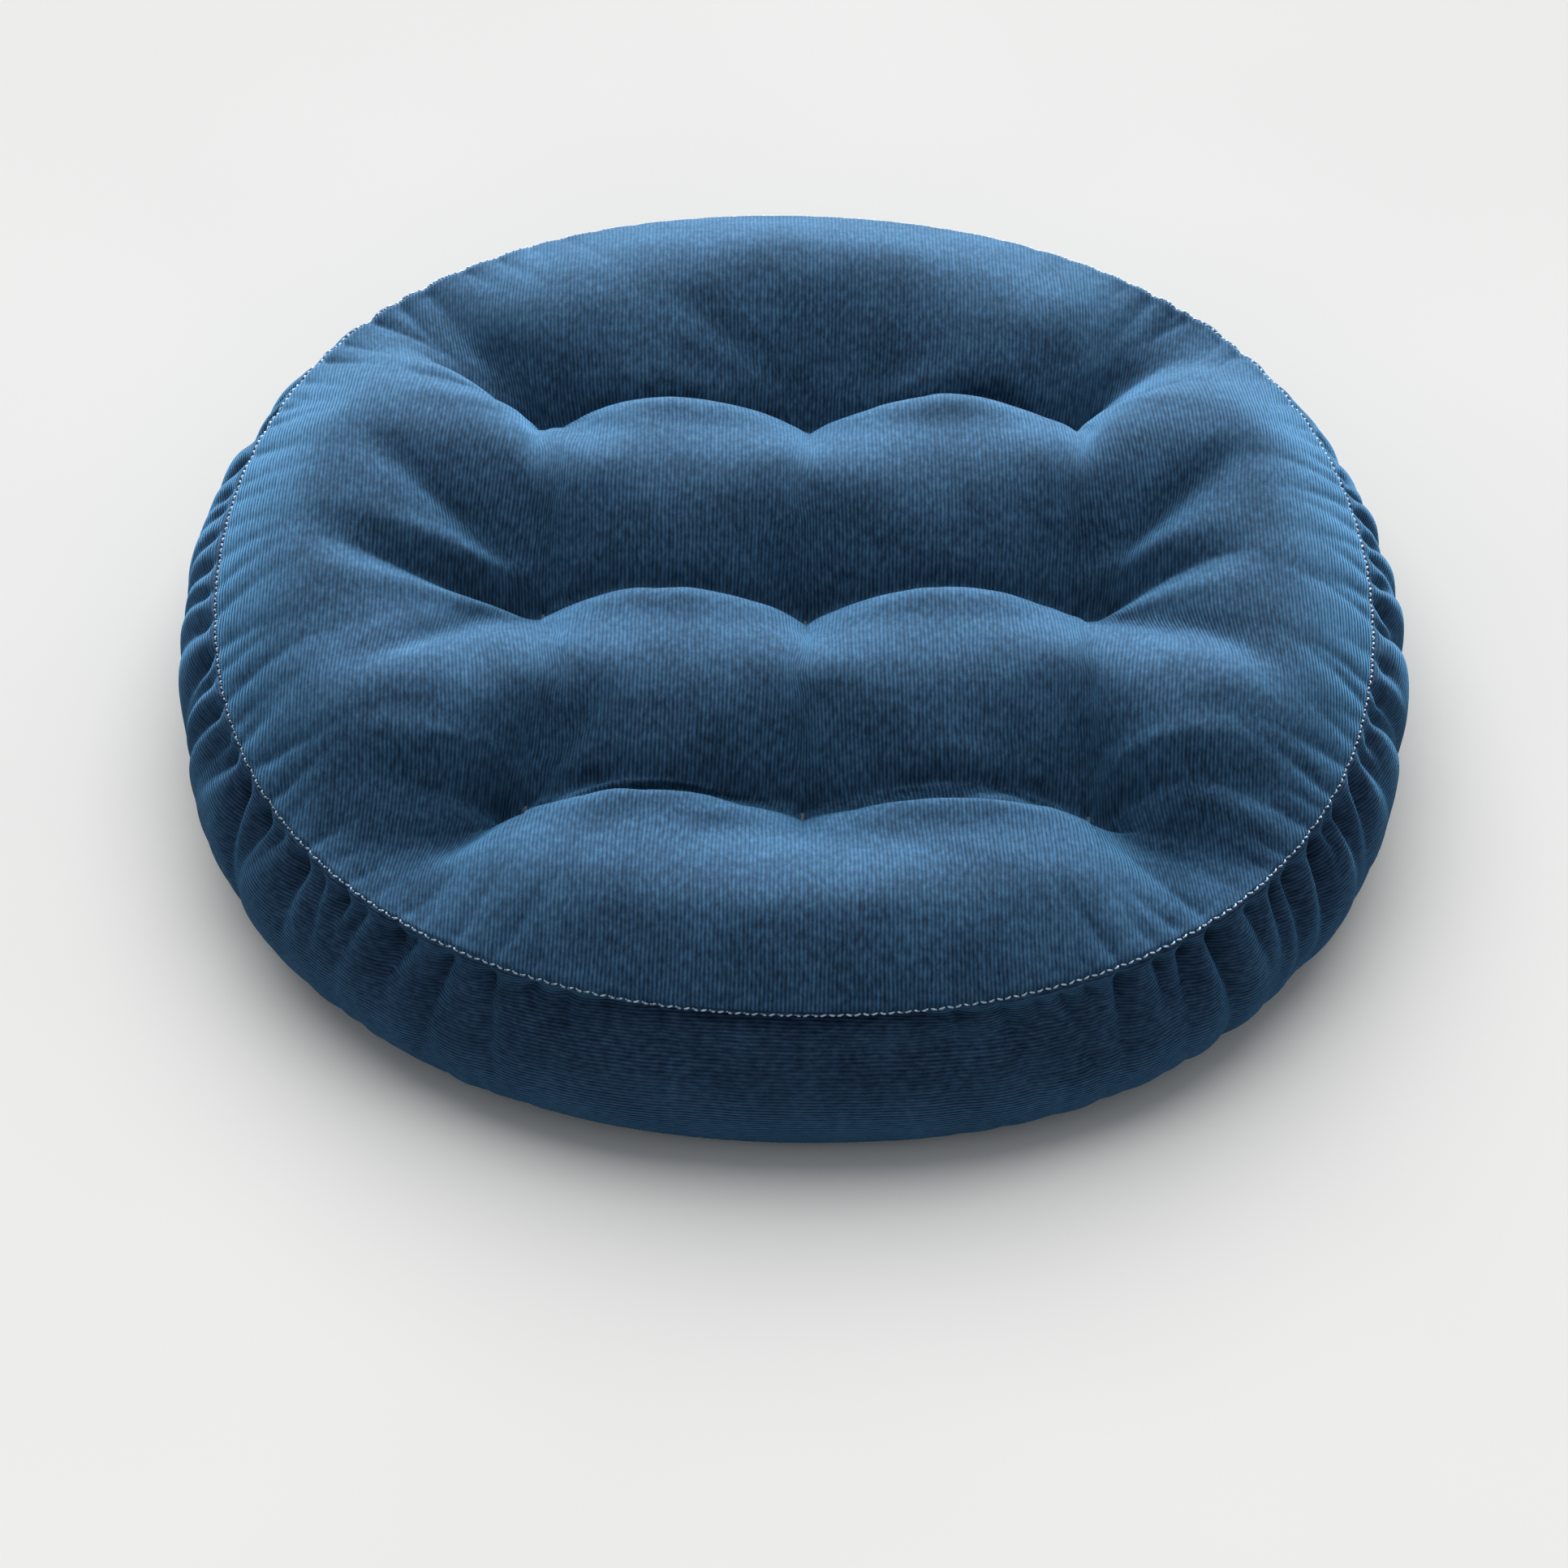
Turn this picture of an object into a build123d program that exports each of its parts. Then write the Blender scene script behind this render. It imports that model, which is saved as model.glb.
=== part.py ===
"""Round tufted floor cushion, in millimetres: +Z up, origin on the floor under its centre.

The cover is three pieces of corduroy. A round top panel and a round bottom panel are sewn to
a side band, each seam with its raw edges turned inwards. The band is one strip whose ends are
sewn together at the back. It holds a loose fibre filling, put in through a gap in the bottom
seam that is then closed by hand. Nine ties of strong thread go right through the cushion and
pull the two panels towards each other, so that the cushion keeps its shape.
"""

from build123d import *

import os
from math import asin, atan, atan2, degrees, radians, sin, sqrt

# Driving dimensions
OVERALL_DIAMETER = 550.0
CROWN_HEIGHT = 112.0
TOP_SEAM_HEIGHT = 86.0
BOTTOM_SEAM_HEIGHT = 7.0
SEAM_RADIUS = 257.0
CROWN_FLAT_RADIUS = 185.0
FLOOR_FLAT_RADIUS = 236.0

CLOTH = 1.2
ROLLED_EDGE_RADIUS = 2.4
SEAM_ALLOWANCE = 10.0
CLEARANCE = 0.2

TUFT_PITCH = 120.0
TUFT_GRID_CENTRE = (6.0, -5.0)
TOP_TUFT_HEIGHT = 68.0
BOTTOM_TUFT_HEIGHT = 15.0
TOP_DIMPLE_RADIUS = 52.0
BOTTOM_DIMPLE_RADIUS = 34.0

TIE_THREAD_RADIUS = 0.7
TIE_STITCH = 5.0
TIE_BEND_RADIUS = 1.2
KNOT_RADIUS = 1.8

SEAM_THREAD_RADIUS = 0.5
HAND_THREAD_RADIUS = 0.6
BACK = 90.0
FILLING_GAP = 38.0
JOIN_STITCHES = 9
JOIN_STITCH_INSET = 3.0
JOIN_STITCH_REACH = 1.8

# How far each tuft is sewn from its place on the square pitch, to the right and to the back
TUFT_DRIFT = {
    "back_left": (1, -1),
    "back_centre": (0, 2),
    "back_right": (0, 6),
    "middle_left": (3, -2),
    "middle_centre": (-1, -3),
    "middle_right": (0, 2),
    "front_left": (0, 0),
    "front_centre": (-2, -1),
    "front_right": (0, 0),
}

# Worked out from the dimensions above
CENTRE_X, CENTRE_Y = TUFT_GRID_CENTRE
COLUMNS = {"left": CENTRE_X - TUFT_PITCH, "centre": CENTRE_X, "right": CENTRE_X + TUFT_PITCH}
ROWS = {"back": CENTRE_Y + TUFT_PITCH, "middle": CENTRE_Y, "front": CENTRE_Y - TUFT_PITCH}
TUFTS = {}
for row, row_y in ROWS.items():
    for column, column_x in COLUMNS.items():
        drift_x, drift_y = TUFT_DRIFT[f"{row}_{column}"]
        TUFTS[f"{row}_{column}"] = (column_x + drift_x, row_y + drift_y)
TIE_HOLE_RADIUS = TIE_THREAD_RADIUS + CLEARANCE
TIE_LOW = BOTTOM_TUFT_HEIGHT - CLEARANCE - KNOT_RADIUS
TIE_HIGH = TOP_TUFT_HEIGHT + CLEARANCE + TIE_THREAD_RADIUS
ALLOWANCE_END = SEAM_RADIUS - SEAM_ALLOWANCE

# The band bulges in one arc, which meets the rolled edge at each seam
BAND_MIDDLE = (TOP_SEAM_HEIGHT + BOTTOM_SEAM_HEIGHT) / 2
BAND_HALF = TOP_SEAM_HEIGHT - BAND_MIDDLE - ROLLED_EDGE_RADIUS
BAND_BULGE = OVERALL_DIAMETER / 2 - SEAM_RADIUS
BAND_ARC_RADIUS = (BAND_BULGE**2 + BAND_HALF**2 - ROLLED_EDGE_RADIUS**2) / (
    2 * (BAND_BULGE - ROLLED_EDGE_RADIUS)
)
BAND_ARC_CENTRE = (OVERALL_DIAMETER / 2 - BAND_ARC_RADIUS, BAND_MIDDLE)
BAND_ARC_HALF_ANGLE = degrees(asin(BAND_HALF / (BAND_ARC_RADIUS - ROLLED_EDGE_RADIUS)))


def panel_section(seam, rise, flat_radius, inset):
    """Draws the half section from the middle of the cushion to a panel, rise above its seam.

    The panel is flat out to flat_radius, curves down to the seam and rolls in, so that its
    allowance lies on the seam's level. With an inset of CLOTH the section is the room inside.
    """
    up = 1 if rise > 0 else -1
    drop = abs(rise) - ROLLED_EDGE_RADIUS
    run = SEAM_RADIUS - flat_radius
    shoulder = (run**2 + drop**2 - ROLLED_EDGE_RADIUS**2) / (
        2 * (abs(rise) - 2 * ROLLED_EDGE_RADIUS)
    )
    meet = degrees(atan2(shoulder - drop, run))
    surface = seam + rise - up * inset
    with BuildSketch(Plane.XZ) as section:
        with BuildLine():
            curve = CenterArc(
                (flat_radius, surface - up * (shoulder - inset)),
                shoulder - inset,
                up * 90,
                up * (meet - 90),
            )
            roll = CenterArc(
                (SEAM_RADIUS, seam + up * ROLLED_EDGE_RADIUS),
                ROLLED_EDGE_RADIUS - inset,
                up * meet,
                -up * (meet + 90),
            )
            Polyline(
                roll @ 1,
                (ALLOWANCE_END, seam + up * inset),
                (ALLOWANCE_END, BAND_MIDDLE),
                (0, BAND_MIDDLE),
                (0, surface),
                curve @ 0,
            )
        make_face()
    return section.sketch


def band_section(inset):
    """Draws the section of the ring inside the side band, as deep as its seam allowances."""
    corners = (
        (ALLOWANCE_END, TOP_SEAM_HEIGHT - inset),
        (ALLOWANCE_END, BOTTOM_SEAM_HEIGHT + inset),
    )
    with BuildSketch(Plane.XZ) as section:
        with BuildLine():
            CenterArc(
                BAND_ARC_CENTRE,
                BAND_ARC_RADIUS - inset,
                -BAND_ARC_HALF_ANGLE,
                2 * BAND_ARC_HALF_ANGLE,
            )
            for up, corner in zip((1, -1), corners):
                roll = CenterArc(
                    (SEAM_RADIUS, BAND_MIDDLE + up * BAND_HALF),
                    ROLLED_EDGE_RADIUS - inset,
                    up * BAND_ARC_HALF_ANGLE,
                    up * (90 - BAND_ARC_HALF_ANGLE),
                )
                Line(roll @ 1, corner)
            Line(*corners)
        make_face()
    return section.sketch


def dimple_section(level, tuft, radius, inset):
    """Draws the half section of a bell-shaped dimple, from outside the panel to its tuft."""
    up = 1 if level > tuft else -1
    slope = 2 * degrees(atan(abs(level - tuft) / radius))
    arc_radius = radius / (2 * sin(radians(slope)))
    outside = level + up * CROWN_HEIGHT
    with BuildSketch(Plane.XZ) as section:
        with BuildLine():
            hollow = CenterArc(
                (0, tuft + up * arc_radius), arc_radius + inset, -up * 90, up * slope
            )
            brim = CenterArc(
                (radius, level - up * arc_radius), arc_radius - inset, up * 90, up * slope
            )
            Polyline(brim @ 0, (radius, outside), (0, outside), hollow @ 0)
        make_face()
    return section.sketch


def panel_body(seam, rise, flat_radius, tuft, dimple_radius, inset):
    """Builds the whole body from the middle of the cushion to a panel, with its dimples."""
    with BuildPart() as dimple:
        revolve(dimple_section(seam + rise, tuft, dimple_radius, inset), axis=Axis.Z)
    with BuildPart() as body:
        revolve(panel_section(seam, rise, flat_radius, inset), axis=Axis.Z)
        with Locations(*TUFTS.values()):
            add(dimple.part, mode=Mode.SUBTRACT)
    return body.part


def band_body(inset):
    """Builds the whole ring inside the side band."""
    with BuildPart() as body:
        revolve(band_section(inset), axis=Axis.Z)
    return body.part


def join_stitches(radius, reach):
    """Builds the row of stitches across the band's turned-in ends, along the band's arc."""
    with BuildPart() as stitches:
        with BuildSketch(Plane.YZ):
            with Locations(BAND_ARC_CENTRE):
                with PolarLocations(
                    BAND_ARC_RADIUS - CLOTH - JOIN_STITCH_INSET,
                    JOIN_STITCHES,
                    start_angle=-BAND_ARC_HALF_ANGLE,
                    angular_range=2 * BAND_ARC_HALF_ANGLE,
                    endpoint=True,
                ):
                    Circle(radius)
        extrude(amount=reach, both=True)
    return stitches.part


def seam_thread(seam, thread_radius, arc):
    """Builds a thread in the groove between a seam's two rolled edges, arc degrees from +X."""
    reach = ROLLED_EDGE_RADIUS + thread_radius + CLEARANCE
    lies_at = SEAM_RADIUS + sqrt(reach**2 - ROLLED_EDGE_RADIUS**2)
    with BuildPart() as thread:
        with BuildSketch(Plane.XZ):
            with Locations((lies_at, seam)):
                Circle(thread_radius)
        revolve(axis=Axis.Z, revolution_arc=arc)
    return thread.part


# The bodies that the pieces are cut from, and what is cut out of them
TOP_PANEL = (
    TOP_SEAM_HEIGHT,
    CROWN_HEIGHT - TOP_SEAM_HEIGHT,
    CROWN_FLAT_RADIUS,
    TOP_TUFT_HEIGHT,
    TOP_DIMPLE_RADIUS,
)
BOTTOM_PANEL = (
    BOTTOM_SEAM_HEIGHT,
    -BOTTOM_SEAM_HEIGHT,
    FLOOR_FLAT_RADIUS,
    BOTTOM_TUFT_HEIGHT,
    BOTTOM_DIMPLE_RADIUS,
)
top_body = panel_body(*TOP_PANEL, inset=0)
top_room = panel_body(*TOP_PANEL, inset=CLOTH)
bottom_body = panel_body(*BOTTOM_PANEL, inset=0)
bottom_room = panel_body(*BOTTOM_PANEL, inset=CLOTH)
whole_band = band_body(inset=0)
band_room = band_body(inset=CLOTH)
join_holes = join_stitches(SEAM_THREAD_RADIUS + CLEARANCE, SEAM_ALLOWANCE)

with BuildPart() as tie_holes:
    with BuildSketch():
        with Locations(*TUFTS.values()):
            with GridLocations(0, TIE_STITCH, 1, 2):
                Circle(TIE_HOLE_RADIUS)
    extrude(amount=CROWN_HEIGHT)

# The band's two ends, turned inwards face to face at the back
with BuildPart() as turned_ends:
    with BuildSketch(Plane.YZ):
        with BuildLine():
            fold = CenterArc(
                BAND_ARC_CENTRE,
                BAND_ARC_RADIUS - CLOTH / 2,
                -BAND_ARC_HALF_ANGLE,
                2 * BAND_ARC_HALF_ANGLE,
            )
            raw_edge = CenterArc(
                BAND_ARC_CENTRE,
                BAND_ARC_RADIUS - CLOTH - SEAM_ALLOWANCE,
                -BAND_ARC_HALF_ANGLE,
                2 * BAND_ARC_HALF_ANGLE,
            )
            Line(fold @ 0, raw_edge @ 0)
            Line(fold @ 1, raw_edge @ 1)
        make_face()
    extrude(amount=CLOTH + CLEARANCE / 2, both=True)

# Cover
with BuildPart() as top_panel:
    add(top_body)
    add(top_room, mode=Mode.SUBTRACT)
    add(tie_holes.part, mode=Mode.SUBTRACT)
top_panel.part.label = "top_panel"

with BuildPart() as bottom_panel:
    add(bottom_body)
    add(bottom_room, mode=Mode.SUBTRACT)
    add(tie_holes.part, mode=Mode.SUBTRACT)
bottom_panel.part.label = "bottom_panel"

with BuildPart() as side_band:
    add(whole_band)
    add(band_room, mode=Mode.SUBTRACT)
    add(turned_ends.part)
    with BuildSketch():
        Rectangle(CLEARANCE, OVERALL_DIAMETER, align=(Align.CENTER, Align.MIN))
    extrude(amount=CROWN_HEIGHT, mode=Mode.SUBTRACT)
    add(join_holes, mode=Mode.SUBTRACT)
side_band.part.label = "side_band"

# Filling
with BuildPart() as fibre_filling:
    add([top_room, band_room, bottom_room])
    with BuildSketch(Plane.XY.offset(BOTTOM_SEAM_HEIGHT)):
        with Locations((0, ALLOWANCE_END)):
            Rectangle(
                2 * (JOIN_STITCH_REACH + CLEARANCE),
                OVERALL_DIAMETER,
                align=(Align.CENTER, Align.MIN),
            )
    extrude(amount=TOP_SEAM_HEIGHT - BOTTOM_SEAM_HEIGHT, mode=Mode.SUBTRACT)
    add(tie_holes.part, mode=Mode.SUBTRACT)
fibre_filling.part.label = "fibre_filling"

# Ties: each a loop of thread down through the cushion and back, knotted under the cloth
ties = []
for place, (x, y) in TUFTS.items():
    with BuildPart() as tuft_tie:
        with BuildLine(Plane.YZ.offset(x)) as loop:
            FilletPolyline(
                (y + KNOT_RADIUS / 2, TIE_LOW),
                (y + TIE_STITCH / 2, TIE_LOW),
                (y + TIE_STITCH / 2, TIE_HIGH),
                (y - TIE_STITCH / 2, TIE_HIGH),
                (y - TIE_STITCH / 2, TIE_LOW),
                (y - KNOT_RADIUS / 2, TIE_LOW),
                radius=TIE_BEND_RADIUS,
            )
        with BuildSketch(Plane(loop.line @ 0, z_dir=loop.line % 0)):
            Circle(TIE_THREAD_RADIUS)
        sweep()
        with Locations((x, y, TIE_LOW)):
            Sphere(KNOT_RADIUS)
    tuft_tie.part.label = f"tuft_tie_{place}"
    ties.append(tuft_tie.part)

# Seam threads
with BuildPart() as top_seam_stitching:
    add(seam_thread(TOP_SEAM_HEIGHT, SEAM_THREAD_RADIUS, 360))
top_seam_stitching.part.label = "top_seam_stitching"

with BuildPart() as bottom_seam_stitching:
    add(
        seam_thread(BOTTOM_SEAM_HEIGHT, SEAM_THREAD_RADIUS, 360 - FILLING_GAP),
        rotation=(0, 0, BACK + FILLING_GAP / 2),
    )
bottom_seam_stitching.part.label = "bottom_seam_stitching"

with BuildPart() as closing_stitches:
    add(
        seam_thread(BOTTOM_SEAM_HEIGHT, HAND_THREAD_RADIUS, FILLING_GAP - 2 * CLEARANCE),
        rotation=(0, 0, BACK - FILLING_GAP / 2 + CLEARANCE),
    )
closing_stitches.part.label = "closing_stitches"

with BuildPart() as band_join_stitching:
    add(join_stitches(SEAM_THREAD_RADIUS, JOIN_STITCH_REACH))
band_join_stitching.part.label = "band_join_stitching"

os.makedirs("parts", exist_ok=True)
export_step(top_panel.part, "parts/top_panel.step")
export_step(side_band.part, "parts/side_band.step")
export_step(bottom_panel.part, "parts/bottom_panel.step")
export_step(fibre_filling.part, "parts/fibre_filling.step")
export_step(top_seam_stitching.part, "parts/top_seam_stitching.step")
export_step(bottom_seam_stitching.part, "parts/bottom_seam_stitching.step")
export_step(closing_stitches.part, "parts/closing_stitches.step")
export_step(band_join_stitching.part, "parts/band_join_stitching.step")
for tie in ties:
    export_step(tie, f"parts/{tie.label}.step")
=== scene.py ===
"""The looks of the round tufted floor cushion, in metres: +Z up, the front towards -Y.

The cover is made the way the real one is. Three flat pieces of corduroy are laid out as cut, their
seams and tufts are drawn to where the CAD model has them, and the cloth is blown out by its filling
in a cloth simulation. The result is then split into the top panel, the side band and the bottom
panel, which get their rolled seams, puckers, turned-in allowances and thickness. Every stitch along
a seam is a short run of thread that follows the finished cloth. The nine ties are the CAD's own
solids, in a thread material.
"""

from math import cos, pi, radians, sin

import bmesh
import bpy
import numpy as np
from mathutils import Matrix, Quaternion, Vector


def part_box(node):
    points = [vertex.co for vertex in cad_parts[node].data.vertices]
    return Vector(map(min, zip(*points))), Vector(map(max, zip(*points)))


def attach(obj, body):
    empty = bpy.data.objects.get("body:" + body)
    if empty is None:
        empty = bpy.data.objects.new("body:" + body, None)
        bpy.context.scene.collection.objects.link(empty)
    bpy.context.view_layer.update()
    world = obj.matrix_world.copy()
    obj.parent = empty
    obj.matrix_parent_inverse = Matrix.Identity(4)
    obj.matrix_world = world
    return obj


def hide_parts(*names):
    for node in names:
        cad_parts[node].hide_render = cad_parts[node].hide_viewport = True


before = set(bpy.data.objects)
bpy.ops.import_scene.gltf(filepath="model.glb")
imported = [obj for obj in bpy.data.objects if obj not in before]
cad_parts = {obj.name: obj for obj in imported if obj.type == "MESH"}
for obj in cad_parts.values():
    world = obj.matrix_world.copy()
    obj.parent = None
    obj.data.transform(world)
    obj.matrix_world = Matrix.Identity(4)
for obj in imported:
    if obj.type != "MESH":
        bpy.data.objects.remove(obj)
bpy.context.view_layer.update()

# The tufts and seams, where the CAD model has them
ROWS = ("back", "middle", "front")
COLUMNS = ("left", "centre", "right")
PITCH = 0.120
TIE_THREAD = 0.0014
TIE_KNOT = 0.0036
CLEARANCE = 0.0002
top_thread_low, top_thread_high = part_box("top_seam_stitching")
bottom_thread_low, bottom_thread_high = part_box("bottom_seam_stitching")
TOP_SEAM = (top_thread_low.z + top_thread_high.z) / 2
BOTTOM_SEAM = (bottom_thread_low.z + bottom_thread_high.z) / 2
THREAD_REACH = (top_thread_high.x - top_thread_low.x) / 2

# The cover as it is cut: the half widths of the top panel from side to side and from front to
# back, the bottom panel's radius, the band's height, and how far apart the tufts are marked
TOP_CUT = np.array((0.281, 0.296))
BOTTOM_CUT = 0.272
BAND_CUT = 0.093
TOP_MARKS = np.array((0.1265, 0.1450))
BOTTOM_MARKS = np.array((0.1225, 0.1225))
MARK_REACH = 0.012

# The seams as they are sewn: a little squared, with most of the fullness at the corners. A tilt is
# how many degrees above the level a seam faces. The closed opening is at the back.
TOP_RING = THREAD_REACH
BOTTOM_RING = TOP_RING + 0.0010
RING_SQUARENESS = 0.0045
TOP_FULLNESS = 0.30
BOTTOM_FULLNESS = 0.08
TOP_SEAM_TILT = 35
BOTTOM_SEAM_TILT = -40
CLOSED_OPENING = radians(38)

# The mesh of the cover: an inner square grid, rings round it out to the seam, and the band. It is
# subdivided after the simulation.
GRID = 60
INNER = 0.5
RINGS = 24
BAND_ROWS = 14
RIM = 4 * GRID
RIM_ANGLES = radians(-45) + 2 * pi * np.arange(RIM) / RIM
BACK_COLUMN = GRID * 3 // 2
TURN_STEPS = 20000
FINE_LEVELS = 2
UNDERSIDE_LEVELS = 1

# The simulation: the seams are drawn into place by one frame, and the cloth is then blown out
FRAMES = 40
DRAWN_BY = 12
WEAVE_SEED = 7
WEAVE_UNEVENNESS = 0.0003
LIES_AT = 0.0004
PLANE_REACH = 0.5
PLANE_GAP = 0.001
PLANE_FRICTION = 5
CLOTH_GAP = 0.0008
CLOTH_SETTINGS = {
    "quality": 6,
    "mass": 0.0005,
    "air_damping": 2,
    "tension_stiffness": 12,
    "compression_stiffness": 12,
    "shear_stiffness": 1,
    "bending_stiffness": 0.1,
    "tension_damping": 2,
    "compression_damping": 2,
    "shear_damping": 2,
    "bending_damping": 0.5,
    "pin_stiffness": 1,
    "uniform_pressure_force": 32,
}

# How the cloth is eased after the simulation: the widths of the folds along the rows and columns,
# and how much and how many times the cloth is lifted or smoothed
ROW_FOLD = 0.024
COLUMN_FOLD = 0.024
COLUMN_LIFT = 0.8
LOBE_EASE = 0.06
EASED_FROM_RIM = 0.03
EASE_ROUNDS = 30
ROUND_EASE = 24
ROUND_SHARE = 0.5
RIM_ROWS = 9
RIM_EASE = 14

# The cloth at its edges: it rolls in over a short way, and its allowance is folded in twice
CLOTH = 0.0012
ROLL = 0.0016
ROLL_WIDTH = 0.0034
SEAM_TURN = 0.010
ALLOWANCE = 0.008
FIRST_FOLD = 0.25
FOLD_INWARDS = 0.6
FOLD_UPRIGHT = 0.8
FILLING_INSET = 0.019

# The press of each tie: half the length of its stitch, and how far round it and how deep it acts
TIE_HALF_LENGTH = 0.0025
TIE_PRESS = 0.0022
TIE_PRESS_DEPTH = 0.02

# The fold behind each row of ties, and the fuller cloth before it. The lower a crease's power, the
# sharper it is at its bottom.
ROW_DEPTH = 0.0060
ROW_BEHIND = 0.0042
ROW_WIDTH = 0.0044
ROW_POWER = 1.5
ROW_RISE = 0.0075
ROW_AHEAD = 0.013
RISE_WIDTH = 0.015

# The folds that run out from the outer ties: the tie, the way across and back, and the depth
FOLDS = (
    ("middle_left", (-0.105, 0.010), 0.0149),
    ("middle_right", (0.080, 0.008), 0.0121),
    ("front_left", (-0.086, -0.010), 0.0108),
    ("front_left", (-0.068, -0.046), 0.0081),
    ("front_right", (0.086, -0.010), 0.0108),
    ("front_right", (0.072, -0.050), 0.0081),
    ("back_left", (-0.070, 0.044), 0.0095),
    ("back_left", (-0.078, 0.004), 0.0068),
    ("back_right", (0.056, 0.040), 0.0095),
    ("back_right", (0.070, 0.000), 0.0068),
)
FOLD_WIDTH = 0.0050
FOLD_BOW = 0.004
FOLD_OPENS = 0.014
FOLD_POWER = 1.3
RIDGE_AWAY = 2.2
RIDGE_SHARE = 0.3

# The puckers along the seams. Each pair is a range that a random value is drawn from.
GATHERED_ALL_ROUND = 0.10
GATHERED_AT_CORNERS = 0.75
GATHERED_AT_SIDES = 0.40
TOP_PUCKER_SEED = 11
TOP_PUCKER_DEPTH = 0.0105
BOTTOM_PUCKER_SEED = 5
BOTTOM_PUCKER_DEPTH = 0.0032
PUCKER_SHARES = (0.45, 1.0)
PUCKER_WIDTHS = (0.0024, 0.0042)
PUCKER_LENGTHS = (0.018, 0.050)
PUCKER_SLANTS = (-0.30, 0.30)
PUCKER_GAPS = (0.010, 0.022)
PUCKER_AT_SEAM = 0.14
PUCKER_OPENS = 0.009
PUCKER_REACH = 0.15
PUCKER_POWER = 1.25
PUCKER_FADE_POWER = 1.6
PANEL_SHARE = 0.25
BAND_TOP_SHARE = 1.6
BAND_BOTTOM_SHARE = 1.0

# The stitches: their pitch and length, how far their ends lean to each side, how far they stand out
THREAD = 0.0008
THREAD_SIDES = 6
THREAD_END = 0.45
MACHINE_STITCH = (0.0035, 0.0027, 0.0004, 0.0010)
HAND_STITCH = (0.0060, 0.0034, 0.0014, 0.0016)
STITCH_SEED = 23
STITCH_UNEVENNESS = 0.0001
STITCH_SINKS = 0.6
STITCH_STEPS = (-1, -0.6, 0, 0.6, 1)
GROOVE_POINTS = 2400

# The corduroy: the colours of its pile from deep to raised, and what the band keeps of each: a
# darker copy that paints shade on the band. Then its wales, and how many grains a metre each noise
# has.
# The pile's colours run darker into the grooves between the cords as painted shade, and also vary
# at random as the pile's own tone
PILE_COLOURS = (
    (0.0, (0.0024, 0.0076, 0.0170)),
    (0.5, (0.0110, 0.0320, 0.0650)),
    (1.0, (0.0270, 0.0720, 0.1330)),
)
BAND_PAINTED_SHADE = (0.80, 0.67, 0.71)
WALE = 0.00174
WALE_DRIFT = 0.0009
CORD_ROUNDNESS = 0.6
DRIFT_GRAINS = 45
PILE_GRAINS = 2600
TUFT_GRAINS = 420
PATCH_GRAINS = 34

# How much the cords, patches and tufts change the pile's tone, and the height of the pile. The
# cords' share paints shade into the grooves between them; patches and tufts are the pile's own
# uneven tone.
PLAIN_TONE = 0.18
CORD_GROOVE_SHADE = 0.50
PATCH_TONE = 0.85
TUFT_TONE = 1.45
PILE_SHARE = 0.45
PILE_HEIGHT = 0.00042
PILE_SURFACE = {
    "Roughness": 0.95,
    "Specular IOR Level": 0.06,
    "Sheen Weight": 0.30,
    "Sheen Roughness": 0.4,
    "Sheen Tint": (0.15, 0.54, 1.0, 1),
}

# The threads, the filling and the floor: their colours from dark to light, how many grains a metre
# their noise has, how it is squeezed along each axis, and how high it stands
SEAM_THREAD_COLOURS = ((0.3, (0.11, 0.18, 0.27)), (0.7, (0.28, 0.37, 0.47)))
TIE_THREAD_COLOURS = ((0.3, (0.016, 0.026, 0.042)), (0.7, (0.045, 0.062, 0.090)))
PLY_GRAINS = 900
PLY_SQUEEZE = (1, 1, 2.5)
PLY_HEIGHT = 0.0002
FIBRE_COLOURS = ((0.25, (0.62, 0.61, 0.58)), (0.75, (0.88, 0.87, 0.84)))
FIBRE_GRAINS = 500
FIBRE_SQUEEZE = (1, 0.3, 1)
FIBRE_HEIGHT = 0.001
FLOOR_COLOURS = ((0.3, (0.80, 0.795, 0.785)), (0.7, (0.83, 0.825, 0.815)))
FLOOR_GRAINS = 3
FLOOR_HEIGHT = 0.0001
FLOOR_REACH = 6.0

# The light: the way to each light, its width in degrees, its power and its colour
SURROUND = 0.44
SURROUND_COLOUR = (0.93, 0.97, 1.0, 1)
WINDOW_LIGHT = ((-0.12, 0.66, 1.30), 75, 2.25, (1.0, 0.99, 0.97))
BACK_LIGHT = ((0.02, 0.88, 0.27), 36, 16.5, (1.0, 1.0, 1.0))
FILL_LIGHT = ((0.10, -0.45, 1.00), 60, 0.85, (1.0, 1.0, 1.0))

# The view of the photograph: a long lens, from the front and above
LENS = 122
SENSOR = 36
DISTANCE = 2.35
ELEVATION = 43.8
SWING = -1.26
ROLL_OF_VIEW = 1.8
AIM_BELOW = 0.0727
AIM_LEFT = 0.0081
TUFT_LEVEL = 0.069
FARTHEST = 50


def tuft_places():
    """Where each tie goes through the cushion: x, y, and the heights of the cloth it holds."""
    places = {}
    for row in ROWS:
        for column in COLUMNS:
            low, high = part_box(f"tuft_tie_{row}_{column}")
            middle = (low + high) / 2
            top = high.z - TIE_THREAD - CLEARANCE
            bottom = low.z + TIE_KNOT + CLEARANCE
            places[f"{row}_{column}"] = (middle.x, middle.y, top, bottom)
    return places


def smooth_step(value):
    """Goes from 0 to 1 with level ends as value goes from 0 to 1."""
    value = np.clip(value, 0, 1)
    return value * value * (3 - 2 * value)


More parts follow.
